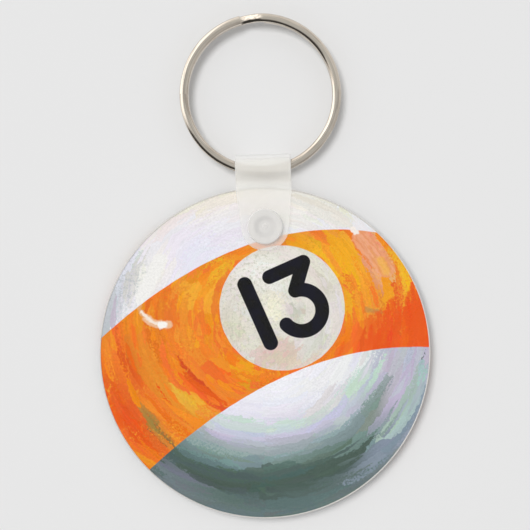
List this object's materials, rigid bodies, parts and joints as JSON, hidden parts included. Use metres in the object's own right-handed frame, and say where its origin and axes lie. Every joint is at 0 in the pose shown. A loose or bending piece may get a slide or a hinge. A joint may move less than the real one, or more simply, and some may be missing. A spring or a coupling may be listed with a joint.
{
  "type": "round printed key tag",
  "caption": "Flat round key tag printed with a striped, numbered pool ball; a folded plastic strap snapped through its edge holds a split key ring.",
  "frame": {"origin": "on the snap's axis, about which the strap swivels, in the plane of the rear snap half's flat end, on which the part lies", "axes": "+Z out of the printed front, +Y from the disc towards the split ring, +X to the right when the front is seen with the ring on top"},
  "size_m": [0.0572, 0.0873, 0.0055],
  "materials": {
    "core": "milky white acrylic, polished edge",
    "print": "printed sheet, painterly orange-striped ball with a number disc",
    "clear_film": "clear gloss cover film",
    "strap_plastic": "frosted translucent flexible plastic",
    "snap_plastic": "frosted translucent moulded plastic",
    "ring_metal": "bright nickel-plated spring steel"
  },
  "bodies": {
    "disc": {"core_disc": "core", "front_print": "print", "front_film": "clear_film", "back_print": "print", "back_film": "clear_film"},
    "strap": {"strap": "strap_plastic", "snap_socket": "snap_plastic"},
    "snap_front": {"snap_stud": "snap_plastic"},
    "ring": {"split_ring": "ring_metal"}
  },
  "joints": [
    {"name": "strap_swivel", "type": "hinge", "parent": "disc", "child": "strap", "pos_m": [0, 0, 0.00275], "axis": [0, 0, 1], "range_deg": [-22, 18]},
    {"name": "ring_swing", "type": "hinge", "parent": "strap", "child": "ring", "pos_m": [-0.00036, 0.01025, 0.00275], "axis": [0.9994, 0.0349, 0], "range_deg": [-115, 115]},
    {"name": "snap_release", "type": "slide", "parent": "strap", "child": "snap_front", "axis": [0, 0, 1], "range_m": [0, 0.005]}
  ]
}
